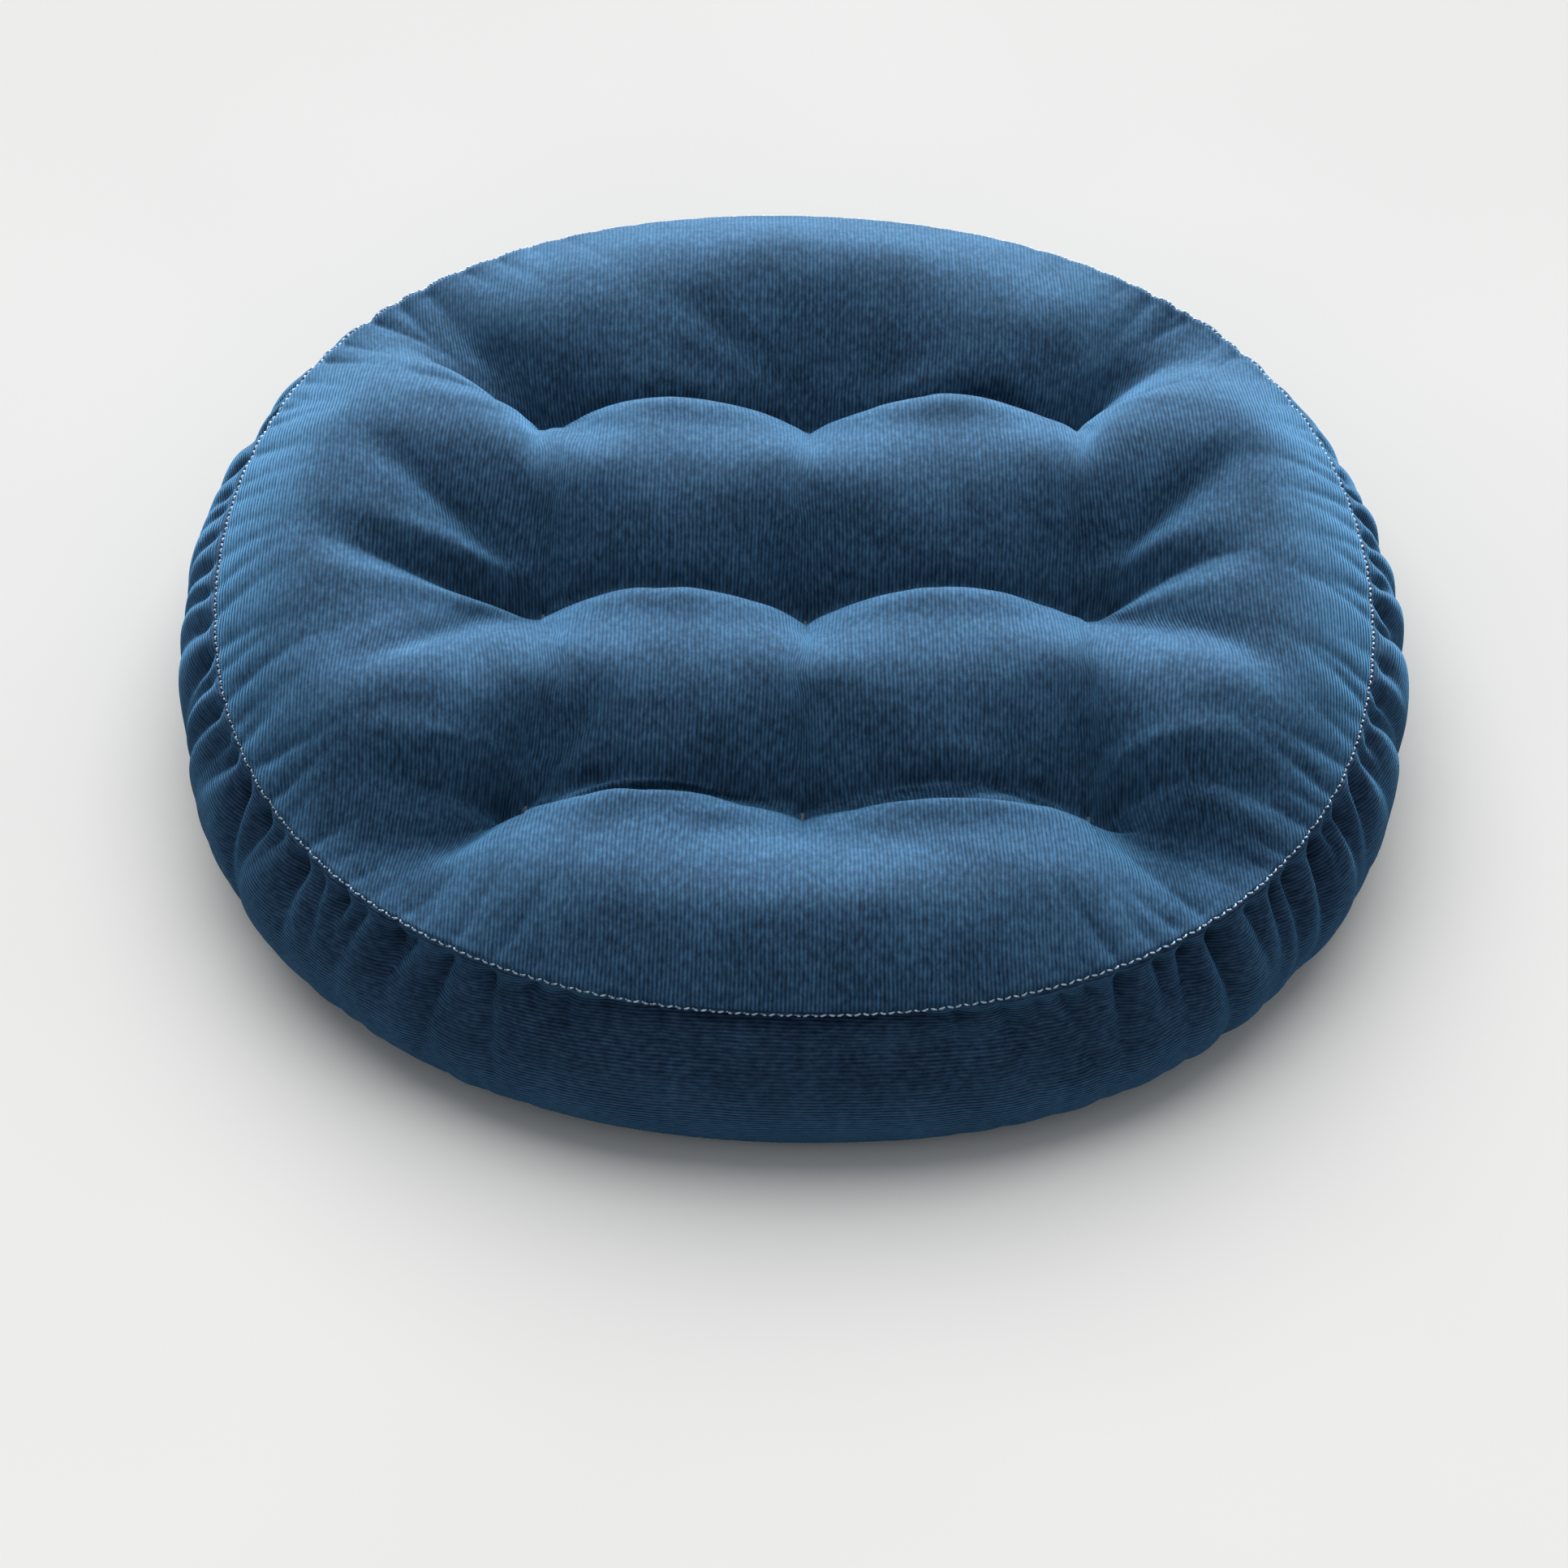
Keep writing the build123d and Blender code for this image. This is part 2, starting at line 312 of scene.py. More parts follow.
def level_square(name, half):
    """A level square at z = 0 that reaches half to each side, as an object in the scene."""
    mesh = bpy.data.meshes.new(name)
    corners = [(-half, -half, 0), (half, -half, 0), (half, half, 0), (-half, half, 0)]
    mesh.from_pydata(corners, [], [(0, 1, 2, 3)])
    square = bpy.data.objects.new(name, mesh)
    bpy.context.collection.objects.link(square)
    return square


def move_mesh(mesh, points):
    """Moves a mesh's vertices to these points."""
    mesh.vertices.foreach_set("co", points.ravel())
    mesh.update()


# ---- The cut pattern ----


def disk_layout():
    """A unit disk of quads: a grid in the middle and rings round it. Points, quads and the rim."""
    steps = np.linspace(-1, 1, GRID + 1)
    points = []
    for v in steps:
        for u in steps:
            points.append((INNER * u * np.sqrt(1 - v * v / 4), INNER * v * np.sqrt(1 - u * u / 4)))
    across = GRID + 1
    quads = []
    for j in range(GRID):
        for i in range(GRID):
            first = j * across + i
            quads.append((first, first + 1, first + 1 + across, first + across))
    edge = [k * across + GRID for k in range(GRID)]
    edge += [GRID * across + GRID - k for k in range(GRID)]
    edge += [(GRID - k) * across for k in range(GRID)]
    edge += list(range(GRID))
    inner = np.array([points[i] for i in edge])
    outer = np.column_stack((np.cos(RIM_ANGLES), np.sin(RIM_ANGLES)))
    ring = edge
    for k in range(1, RINGS + 1):
        base = len(points)
        points += list(map(tuple, inner + (outer - inner) * k / RINGS))
        following = [base + q for q in range(RIM)]
        for q in range(RIM):
            beside = (q + 1) % RIM
            quads.append((ring[q], following[q], following[beside], ring[beside]))
        ring = following
    return np.array(points), np.array(quads), np.array(ring)


def mark_tufts(cut, places, marks):
    """Moves the nearest vertex of a cut panel, and the cloth round it, onto each tuft's mark."""
    found = []
    for x, y, _, _ in places.values():
        mark = TUFT_CENTRE + (np.array((x, y)) - TUFT_CENTRE) * marks / PITCH
        nearest = int(np.argmin(((cut - mark) ** 2).sum(axis=1)))
        away = ((cut - cut[nearest]) ** 2).sum(axis=1)
        cut = cut + np.exp(-away / MARK_REACH**2)[:, None] * (mark - cut[nearest])
        found.append(nearest)
    return cut, found


def sewn_angles(fullness):
    """The angle at which each rim vertex is sewn, with the fullness gathered at the diagonals."""
    turn = np.linspace(0, 2 * pi, TURN_STEPS + 1)
    density = 1 + fullness * np.sin(2 * turn) ** 4
    sewn = np.concatenate(([0], np.cumsum((density[1:] + density[:-1]) / 2)))
    return np.interp(RIM_ANGLES % (2 * pi), sewn * 2 * pi / sewn[-1], turn)


def ring_radius(angles, mean):
    """A seam's radius at each angle: the cushion is a little squared, with its corners diagonal."""
    return mean - RING_SQUARENESS * np.cos(4 * angles)


def cut_cover():
    """The cover as cut and the places its seams and tufts are drawn to."""
    disk, quads, rim = disk_layout()
    count = len(disk)
    top, top_tufts = mark_tufts(disk * TOP_CUT, PLACES, TOP_MARKS)
    bottom, bottom_tufts = mark_tufts(disk * BOTTOM_CUT, PLACES, BOTTOM_MARKS)

    between = np.arange(BAND_ROWS - 1)[:, None] * RIM + np.arange(RIM) + 2 * count
    rows = np.vstack((rim, between, rim + count))
    points = np.zeros((2 * count + between.size, 3))
    points[:count, :2] = top
    points[:count, 2] = BAND_CUT
    points[count : 2 * count, :2] = bottom
    for k, row in enumerate(rows[1:-1], start=1):
        down = k / BAND_ROWS
        points[row, :2] = top[rim] * (1 - down) + bottom[rim] * down
        points[row, 2] = BAND_CUT * (1 - down)

    beside = np.roll(rows, -1, axis=1)
    band = np.stack((rows[:-1], rows[1:], beside[1:], beside[:-1]), axis=-1).reshape(-1, 4)
    faces = np.vstack((quads, quads[:, ::-1] + count, band))

    pins = {}
    for (x, y, high, low), above, below in zip(PLACES.values(), top_tufts, bottom_tufts):
        pins[above] = (x, y, high)
        pins[count + below] = (x, y, low)
    top_seam = (rows[0], TOP_RING, TOP_SEAM, TOP_FULLNESS)
    bottom_seam = (rows[-1], BOTTOM_RING, BOTTOM_SEAM, BOTTOM_FULLNESS)
    for ring, mean, height, fullness in (top_seam, bottom_seam):
        angles = sewn_angles(fullness)
        radius = ring_radius(angles, mean)
        for q, vertex in enumerate(ring):
            pins[int(vertex)] = (radius[q] * cos(angles[q]), radius[q] * sin(angles[q]), height)
    return points, faces, rows, pins, quads, count


# ---- The simulation ----


def floor_to_rest_on():
    """A plane at z = 0 that the cloth can't pass."""
    plane = level_square("resting_plane", PLANE_REACH)
    plane.modifiers.new("Collision", "COLLISION")
    plane.collision.thickness_outer = PLANE_GAP
    plane.collision.cloth_friction = PLANE_FRICTION
    return plane


def set_cloth(piece):
    """Gives the cut cover its cloth, its drawn seams and its filling's pressure."""
    cloth = piece.modifiers.new("Cloth", "CLOTH")
    cloth.point_cache.frame_start = 1
    cloth.point_cache.frame_end = FRAMES
    cloth.collision_settings.distance_min = CLOTH_GAP
    cloth.collision_settings.use_self_collision = False
    cloth.settings.bending_model = "ANGULAR"
    cloth.settings.vertex_group_mass = "drawn"
    cloth.settings.use_pressure = True
    cloth.settings.effector_weights.gravity = 0
    for key, value in CLOTH_SETTINGS.items():
        setattr(cloth.settings, key, value)


def fill_cover(points, faces, pins):
    """Draws the cut cover's seams and tufts into place and blows it out. Its finished points."""
    uneven = np.random.default_rng(WEAVE_SEED).normal(0, WEAVE_UNEVENNESS, points.shape)
    start = points + uneven
    mesh = bpy.data.meshes.new("cut_cover")
    mesh.from_pydata(start.tolist(), [], faces.tolist())
    cover = bpy.data.objects.new("cut_cover", mesh)
    bpy.context.collection.objects.link(cover)

    cover.shape_key_add(name="cut")
    drawn = start.copy()
    for vertex, place in pins.items():
        drawn[vertex] = place
    key = cover.shape_key_add(name="drawn")
    key.data.foreach_set("co", drawn.ravel())
    for value, when in ((0, 1), (1, DRAWN_BY)):
        key.value = value
        key.keyframe_insert("value", frame=when)
    cover.vertex_groups.new(name="drawn").add(list(pins), 1, "REPLACE")
    set_cloth(cover)

    plane = floor_to_rest_on()
    scene = bpy.context.scene
    scene.frame_start = 1
    scene.frame_end = FRAMES
    for moment in range(1, FRAMES + 1):
        scene.frame_set(moment)
    evaluated = cover.evaluated_get(bpy.context.evaluated_depsgraph_get())
    filled = np.empty(points.size)
    evaluated.data.vertices.foreach_get("co", filled)
    filled = filled.reshape(-1, 3)
    for spent in (cover, plane):
        bpy.data.objects.remove(spent)
    scene.frame_set(1)
    filled[:, 2] = np.maximum(filled[:, 2], LIES_AT)
    return filled


def near_line(places, line, axis, width):
    """How near points are to a line of tufts, from 0 to 1. It runs along axis: 0 is X, 1 is Y."""
    ends = sorted(line, key=lambda place: place[axis])
    run = [place[axis] for place in ends]
    offset = [place[1 - axis] for place in ends]
    away = places[:, 1 - axis] - np.interp(places[:, axis], run, offset)
    beyond = np.maximum(run[0] - places[:, axis], 0) + np.maximum(places[:, axis] - run[-1], 0)
    return np.exp(-(np.hypot(away, beyond) / width) ** 2)


def ease_folds(points, quads):
    """Eases the top panel's folds except along the rows, where the ties pull the cloth tight.

    The cloth between the columns is only lifted, as the filling there does, and the lobes round
    the tufts are smoothed a little.
    """
    edges = np.vstack([quads[:, [k, (k + 1) % 4]] for k in range(4)])
    edges = np.unique(np.sort(edges, axis=1), axis=0)
    first, second = edges.T
    valence = np.bincount(edges.ravel(), minlength=len(points))[:, None]
    tufts = {name: np.array(place[:2]) for name, place in PLACES.items()}
    along_rows = np.zeros(len(points))
    for row in ROWS:
        line = [tufts[f"{row}_{column}"] for column in COLUMNS]
        along_rows = np.maximum(along_rows, near_line(points, line, 0, ROW_FOLD))
    along_columns = np.zeros(len(points))
    for column in COLUMNS:
        line = [tufts[f"{row}_{column}"] for row in ROWS]
        along_columns = np.maximum(along_columns, near_line(points, line, 1, COLUMN_FOLD))
    from_rim = np.maximum(TOP_RING - np.hypot(points[:, 0], points[:, 1]), 0)
    free = (1 - along_rows) * smooth_step(from_rim / EASED_FROM_RIM)
    lift = (free * along_columns * COLUMN_LIFT)[:, None]
    smooth = (free * LOBE_EASE)[:, None]
    eased = points.copy()
    for _ in range(EASE_ROUNDS):
        total = np.zeros_like(eased)
        np.add.at(total, first, eased[second])
        np.add.at(total, second, eased[first])
        step = total / valence - eased
        eased += smooth * step
        eased[:, 2:] += lift * np.maximum(step[:, 2:], 0)
    return eased


def panel_rings(first, last):
    """The vertices of the top panel's rings from the first up to the last, one row a ring."""
    return (GRID + 1) ** 2 + np.arange(first, last)[:, None] * RIM + np.arange(RIM)


def ease_round(points, rows):
    """Smooths the cloth round the cushion, on the band and towards the top panel's rim.

    The short random folds that the simulation leaves there give way to the puckers made later.
    """
    eased = points.copy()
    towards_rim = np.linspace(0, 1, RINGS - 1) ** 3 * ROUND_SHARE
    on_band = np.full(BAND_ROWS - 1, ROUND_SHARE)
    share = np.concatenate((towards_rim, on_band))[:, None, None]
    rings = np.vstack((panel_rings(0, RINGS - 1), rows[1:-1]))
    for _ in range(ROUND_EASE):
        ring = eased[rings]
        beside = (np.roll(ring, 1, axis=1) + np.roll(ring, -1, axis=1)) / 2
        eased[rings] = ring + (beside - ring) * share
    return eased


def ease_rim(points):
    """Rounds the top panel off towards its seam, where the simulation leaves a step."""
    eased = points.copy()
    rings = panel_rings(RINGS - RIM_ROWS, RINGS)
    for _ in range(RIM_EASE):
        across = eased[rings]
        between = (across[:-2] + across[2:]) / 2
        eased[rings[1:-1]] = (across[1:-1] + between) / 2
    return eased


# ---- Puckers ----


def gather_strength(angle):
    """How gathered the seam is: little at the front and back, most at the diagonal corners."""
    corners = GATHERED_AT_CORNERS * sin(2 * angle) ** 2
    sides = GATHERED_AT_SIDES * cos(angle) ** 4
    return GATHERED_ALL_ROUND + corners + sides


def make_puckers(seed, deepest):
    """Creases at random places along a seam: angle, depth, width, length and slant of each."""
    random = np.random.default_rng(seed)
    puckers = []
    place = 0.0
    while place < 2 * pi * TOP_RING:
        angle = place / TOP_RING
        depth = gather_strength(angle) * random.uniform(*PUCKER_SHARES) * deepest
        width = random.uniform(*PUCKER_WIDTHS)
        length = random.uniform(*PUCKER_LENGTHS)
        slant = random.uniform(*PUCKER_SLANTS)
        puckers.append((angle, depth, width, length, slant))
        place += random.uniform(*PUCKER_GAPS)
    return puckers


def pucker_depth(puckers, angles, from_seam, beyond):
    """How deep the puckers are at points this far from their seam.

    The stitches hold the cloth nearly flat at the seam. Beyond it, a crease is as deep as beyond
    times its depth, and fades along its length.
    """
    depth = np.zeros(len(angles))
    opened = PUCKER_AT_SEAM + (beyond - PUCKER_AT_SEAM) * smooth_step(from_seam / PUCKER_OPENS)
    for angle, deep, width, length, slant in puckers:
        along = (angles - angle + pi) % (2 * pi) - pi
        near = np.abs(along) < PUCKER_REACH
        across = along[near] * TOP_RING - slant * from_seam[near]
        fade = np.exp(-((from_seam[near] / length) ** PUCKER_FADE_POWER))
        widening = width * (1 + from_seam[near] / length)
        crease = np.exp(-np.abs(across / widening) ** PUCKER_POWER)
        depth[near] += deep * opened[near] * fade * crease
    return depth


# ---- The pieces of the cover ----


def seam_direction(points, tilt):
    """The direction in which a seam's edge faces: outwards, and tilt degrees above the level."""
    angles = np.arctan2(points[:, 1], points[:, 0])
    level = cos(radians(tilt))
    up = np.full(len(points), sin(radians(tilt)))
    return np.column_stack((np.cos(angles) * level, np.sin(angles) * level, up))


def fine_mesh(name, points, quads, flat, levels):
    """A subdivided mesh whose UV map, cloth, holds each point's place on the flat cloth."""
    mesh = bpy.data.meshes.new(name)
    mesh.from_pydata(points.tolist(), [], quads.tolist())
    layer = mesh.uv_layers.new(name="cloth")
    layer.data.foreach_set("uv", flat[quads].reshape(-1))
    coarse = bpy.data.objects.new(name, mesh)
    bpy.context.collection.objects.link(coarse)
    smooth = coarse.modifiers.new("Smooth", "SUBSURF")
    smooth.levels = levels
    smooth.uv_smooth = "SMOOTH_ALL"
    evaluated = coarse.evaluated_get(bpy.context.evaluated_depsgraph_get())
    fine = bpy.data.meshes.new_from_object(evaluated)
    bpy.data.objects.remove(coarse)
    bpy.data.meshes.remove(mesh)
    fine.name = name
    return fine


def read_mesh(mesh):
    """A mesh's points, normals and flat places, one row a vertex."""
    count = len(mesh.vertices)
    points = np.empty(count * 3)
    mesh.vertices.foreach_get("co", points)
    normals = np.empty(count * 3)
    mesh.vertex_normals.foreach_get("vector", normals)
    corners = np.empty(len(mesh.loops), dtype=int)
    mesh.loops.foreach_get("vertex_index", corners)
    on_corners = np.empty(len(corners) * 2)
    mesh.uv_layers["cloth"].data.foreach_get("uv", on_corners)
    flat = np.empty((count, 2))
    flat[corners] = on_corners.reshape(-1, 2)
    return points.reshape(-1, 3), normals.reshape(-1, 3), flat


def rolled_in(from_edge):
    """How far the cloth has rolled inwards at this distance from a seam."""
    return ROLL * (1 - np.sqrt(1 - (1 - np.clip(from_edge / ROLL_WIDTH, 0, 1)) ** 2))


def press_in(mesh, depth, from_seams):
    """Presses a mesh in by depth along its normals, turning to each seam's own direction there.

    from_seams holds, for each seam, the distances from it and the direction that its edge faces.
    """
    points, normals, _ = read_mesh(mesh)
    direction = normals
    for distance, facing in from_seams:
        share = smooth_step(distance / SEAM_TURN)[:, None]
        direction = direction * share + facing * (1 - share)
    direction = direction / np.linalg.norm(direction, axis=1)[:, None]
    points = points - direction * depth[:, None]
    points[:, 2] = np.maximum(points[:, 2], LIES_AT)
    move_mesh(mesh, points)


def turn_in(mesh, way):
    """Folds a panel's open edge into the cushion, as its seam allowance.

    It goes in towards the middle, and up into the filling where way is 1, or down where it is -1.
    """
    work = bmesh.new()
    work.from_mesh(mesh)
    for share in (FIRST_FOLD, 1 - FIRST_FOLD):
        edges = [e for e in work.edges if e.is_boundary]
        made = bmesh.ops.extrude_edge_only(work, edges=edges)["geom"]
        for vertex in [g for g in made if isinstance(g, bmesh.types.BMVert)]:
            inwards = -Vector((vertex.co.x, vertex.co.y, 0)).normalized()
            turned = inwards * FOLD_INWARDS + Vector((0, 0, way * FOLD_UPRIGHT))
            vertex.co += turned * (ALLOWANCE * share)
    work.to_mesh(mesh)
    work.free()


def finish_piece(name, mesh, nodes, material):
    """Makes a mesh a shown piece that rides on the body and stands for its CAD nodes."""
    mesh.materials.clear()
    mesh.materials.append(material)
    mesh.polygons.foreach_set("use_smooth", [True] * len(mesh.polygons))
    piece = bpy.data.objects.new(name, mesh)
    bpy.context.collection.objects.link(piece)
    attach(piece, "root")
    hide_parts(*nodes)
    return piece


def thicken(piece):
    """Gives a cover piece its cloth's thickness, inwards from the face that shows."""
    solid = piece.modifiers.new("Thickness", "SOLIDIFY")
    solid.thickness = CLOTH
    solid.offset = -1


def edge_distance(flat, half_widths):
    """How far points on a cut panel are from its edge."""
    length = np.linalg.norm(flat, axis=1)
    radius = length / np.maximum(np.linalg.norm(flat / half_widths, axis=1), 1e-9)
    return np.maximum(radius - length, 0)


def press_tufts(mesh, top):
    """Presses the cloth down under each tie's stitch."""
    points, _, _ = read_mesh(mesh)
    for x, y, high, low in PLACES.values():
        level = high if top else low
        beyond = np.maximum(np.abs(points[:, 1] - y) - TIE_HALF_LENGTH, 0)
        away = np.hypot(points[:, 0] - x, beyond)
        above = np.abs(points[:, 2] - level) < TIE_PRESS_DEPTH
        points[:, 2] += (level - points[:, 2]) * np.exp(-((away / TIE_PRESS) ** 2)) * above
    move_mesh(mesh, points)


def press_folds(mesh):
    """Presses in the folds that run out from the outer ties, each with low ridges beside it."""
    points, _, _ = read_mesh(mesh)
    for tuft, way, deep in FOLDS:
        start = np.array(PLACES[tuft][:2])
        length = np.linalg.norm(way)
        ahead = np.array(way) / length
        along = (points[:, :2] - start) @ ahead
        bow = FOLD_BOW * np.sin(pi * along / length)
        aside = (points[:, :2] - start) @ (-ahead[1], ahead[0]) - bow
        share = smooth_step(along / FOLD_OPENS) * np.clip(1 - along / length, 0, 1)
        across = np.abs(aside / (FOLD_WIDTH * (1 + along.clip(0) / length)))
        valley = np.exp(-(across**FOLD_POWER))
        ridge = np.exp(-((across - RIDGE_AWAY) ** 2))
        points[:, 2] -= deep * share * (valley - RIDGE_SHARE * ridge)
    move_mesh(mesh, points)


def press_rows(mesh):
    """Sharpens the fold between each two neighbouring ties, and fills the cloth before it."""
    points, _, _ = read_mesh(mesh)
    for row in ROWS:
        line = [np.array(PLACES[f"{row}_{column}"][:2]) for column in COLUMNS]
        for start, end in zip(line, line[1:]):
            length = np.linalg.norm(end - start)
            ahead = (end - start) / length
            along = (points[:, :2] - start) @ ahead / length
            behind = (points[:, :2] - start) @ (-ahead[1], ahead[0])
            share = np.sqrt(np.sin(pi * along.clip(0, 1)))
            fold = np.exp(-np.abs((behind - ROW_BEHIND) / ROW_WIDTH) ** ROW_POWER)
            rise = np.exp(-(((behind + ROW_AHEAD) / RISE_WIDTH) ** 2))
            points[:, 2] += share * (ROW_RISE * rise - ROW_DEPTH * fold)
    move_mesh(mesh, points)


def make_panel(name, points, quads, flat, half_widths, seam_tilt, puckers, levels):
    """The top or the bottom panel, from its points in the filled cover."""
    mesh = fine_mesh(name, points, quads, flat, levels)
    top = name == "top_panel"
    if top:
        press_rows(mesh)
        press_folds(mesh)
    places, _, spots = read_mesh(mesh)
    distance = edge_distance(spots, half_widths)
    angles = np.arctan2(places[:, 1], places[:, 0])
    depth = pucker_depth(puckers, angles, distance, PANEL_SHARE) + rolled_in(distance)
    press_in(mesh, depth, [(distance, seam_direction(places, seam_tilt))])
    press_tufts(mesh, top)
    turn_in(mesh, -1 if top else 1)
    piece = finish_piece(name, mesh, [name], CORDUROY)
    thicken(piece)
    return piece


def make_band(points, rows):
    """The side band: one strip that starts and ends at the back, where its ends are joined."""
    order = (BACK_COLUMN + np.arange(RIM + 1)) % RIM
    strip = rows[:, order]
    grid = np.arange(strip.size).reshape(strip.shape)
    quads = np.stack((grid[:-1, :-1], grid[1:, :-1], grid[1:, 1:], grid[:-1, 1:]), axis=-1)
    round_cut = 2 * pi * (TOP_CUT.mean() + BOTTOM_CUT) / 2
    down, along = np.meshgrid(
        np.linspace(0, BAND_CUT, BAND_ROWS + 1), np.linspace(0, round_cut, RIM + 1), indexing="ij"
    )
    flat = np.stack((down, along), axis=-1).reshape(-1, 2)
    mesh = fine_mesh("side_band", points[strip.ravel()], quads.reshape(-1, 4), flat, FINE_LEVELS)
    places, _, spots = read_mesh(mesh)
    from_top = np.maximum(spots[:, 0], 0)
    from_bottom = np.maximum(BAND_CUT - spots[:, 0], 0)
    from_join = np.minimum(spots[:, 1], round_cut - spots[:, 1]).clip(0)
    angles = np.arctan2(places[:, 1], places[:, 0])
    depth = rolled_in(from_top) + rolled_in(from_bottom) + rolled_in(from_join)
    depth += pucker_depth(TOP_PUCKERS, angles, from_top, BAND_TOP_SHARE)
    depth += pucker_depth(BOTTOM_PUCKERS, angles, from_bottom, BAND_BOTTOM_SHARE)
    facing = [
        (from_top, seam_direction(places, TOP_SEAM_TILT)),
        (from_bottom, seam_direction(places, BOTTOM_SEAM_TILT)),
    ]
    press_in(mesh, depth, facing)
    # The band gets the darker copy of the corduroy: painted shade
    piece = finish_piece("side_band", mesh, ["side_band"], SHADED_BAND_CORDUROY)
    thicken(piece)
    return piece


def make_filling(points, faces):
    """The fibre filling: the whole room inside the cover."""
    mesh = bpy.data.meshes.new("fibre_filling")
    mesh.from_pydata(points.tolist(), [], faces.tolist())
    normals = np.empty(points.size)
    mesh.vertex_normals.foreach_get("vector", normals)
    inside = points - normals.reshape(-1, 3) * FILLING_INSET
    inside[:, 2] = np.maximum(inside[:, 2], LIES_AT + CLOTH + CLEARANCE)
    move_mesh(mesh, inside)
    return finish_piece("fibre_filling", mesh, ["fibre_filling"], FIBRE)


# ---- Threads ----


def add_thread(work, route, radius):
    """Adds a thread with rounded ends along a short route of points to a bmesh."""
    route = [Vector(p) for p in route]
    rings = []
    for k, point in enumerate(route):
        ahead = (route[min(k + 1, len(route) - 1)] - route[max(k - 1, 0)]).normalized()
        side = ahead.orthogonal().normalized()
        other = ahead.cross(side)
        end = k in (0, len(route) - 1)
        size = radius * (THREAD_END if end else 1)
        ring = []
        for s in range(THREAD_SIDES):
            turn = 2 * pi * s / THREAD_SIDES
            ring.append(work.verts.new(point + side * cos(turn) * size + other * sin(turn) * size))
        rings.append(ring)
    for first, second in zip(rings, rings[1:]):
        for s in range(THREAD_SIDES):
            beside = (s + 1) % THREAD_SIDES
            work.faces.new((first[s], first[beside], second[beside], second[s]))
    work.faces.new(rings[0][::-1])
    work.faces.new(rings[-1])


def seam_groove(height, mean, tilt, puckers, start, end):
    """The line along a seam from one angle to another, and the direction that it faces."""
    turns = np.linspace(start, end, GROOVE_POINTS)
    flat = np.column_stack((np.cos(turns), np.sin(turns), np.zeros(len(turns))))
    line = flat * ring_radius(turns, mean)[:, None] + (0, 0, height)
    facing = seam_direction(line, tilt)
    creased = pucker_depth(puckers, (turns + pi) % (2 * pi) - pi, np.zeros(len(turns)), 1.0)
    return line - facing * creased[:, None], facing


def join_groove(points, rows):
    """The line down the band's join at the back, and the direction that it faces."""
    line = points[rows[1:-1, BACK_COLUMN]]
    along = np.gradient(line, axis=0)
    facing = np.cross((1, 0, 0), along)
    facing *= np.sign(facing[:, 1:2])
    return line, facing / np.linalg.norm(facing, axis=1)[:, None]


def sew(name, groove, kind, material):
    """A row of separate stitches of one kind along a groove.

    Each lies between the two rolled edges and stands out of the groove at its middle.
    """
    line, facing = groove
    pitch, length, zigzag, stand = kind
    measured = np.concatenate(([0], np.cumsum(np.linalg.norm(np.diff(line, axis=0), axis=1))))
    ahead = np.gradient(line, axis=0)
    sideways = np.cross(ahead / np.linalg.norm(ahead, axis=1)[:, None], facing)
    random = np.random.default_rng(STITCH_SEED)
    work = bmesh.new()
    count = int(measured[-1] / pitch)
    for k in range(count):
        middle = measured[-1] * (k + 0.5) / count
        lean = zigzag * (1 if k % 2 else -1)
        lean += random.uniform(-STITCH_UNEVENNESS, STITCH_UNEVENNESS)
        route = []
        for t in STITCH_STEPS:
            place = middle + t * length / 2
            at = [np.interp(place, measured, line[:, axis]) for axis in range(3)]
            out = [np.interp(place, measured, facing[:, axis]) for axis in range(3)]
            side = [np.interp(place, measured, sideways[:, axis]) for axis in range(3)]
            depth = stand * (1 - t * t) - THREAD * STITCH_SINKS * t * t - ROLL
            route.append(np.array(at) + np.array(out) * depth + np.array(side) * lean * t)
        add_thread(work, route, THREAD / 2)
    mesh = bpy.data.meshes.new(name)
    work.to_mesh(mesh)
    work.free()
    return finish_piece(name, mesh, [name], material)


# ---- Materials ----


